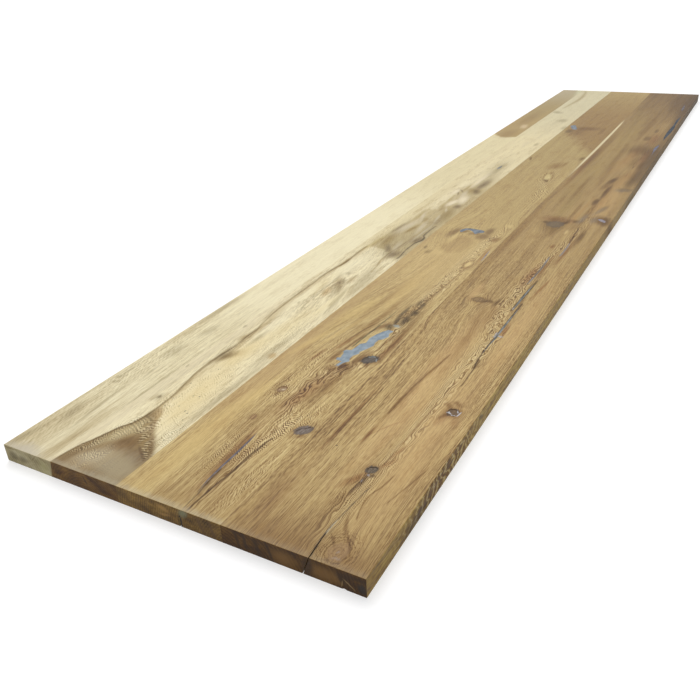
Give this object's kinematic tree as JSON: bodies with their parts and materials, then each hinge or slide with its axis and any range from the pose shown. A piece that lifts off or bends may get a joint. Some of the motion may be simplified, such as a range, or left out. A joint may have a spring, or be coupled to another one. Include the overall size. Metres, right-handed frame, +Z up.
{
  "type": "hardwood board",
  "caption": "Flat edge-glued board of reclaimed hardwood staves, square-edged, with filled knots and checks, for shelves, sills, treads and tops.",
  "frame": {"origin": "middle of the underside", "axes": "+X along the board from its near end to its far end, +Y towards the pale edge, +Z up out of the face"},
  "size_m": [3, 0.56, 0.027],
  "materials": {
    "pale_wood": "sanded, unfinished",
    "honey_wood": "sanded, unfinished",
    "brown_wood": "sanded, unfinished",
    "filler": "cured resin, sanded flush"
  },
  "bodies": {
    "root": {"pale_edge_stave": "pale_wood", "pale_inner_stave": "pale_wood", "honey_inner_stave": "honey_wood", "brown_edge_stave": "brown_wood", "long_void_fill": "filler", "crescent_knot_fill": "filler", "far_knot_fill": "filler", "sapwood_check_fill": "filler", "end_check_fill": "filler", "seam_check_fill": "filler", "heart_check_fill": "filler", "inner_heart_check_fill": "filler", "edge_knot_fill": "filler", "edge_split_fill": "filler", "long_edge_split_fill": "filler", "far_edge_split_fill": "filler"}
  },
  "joints": []
}
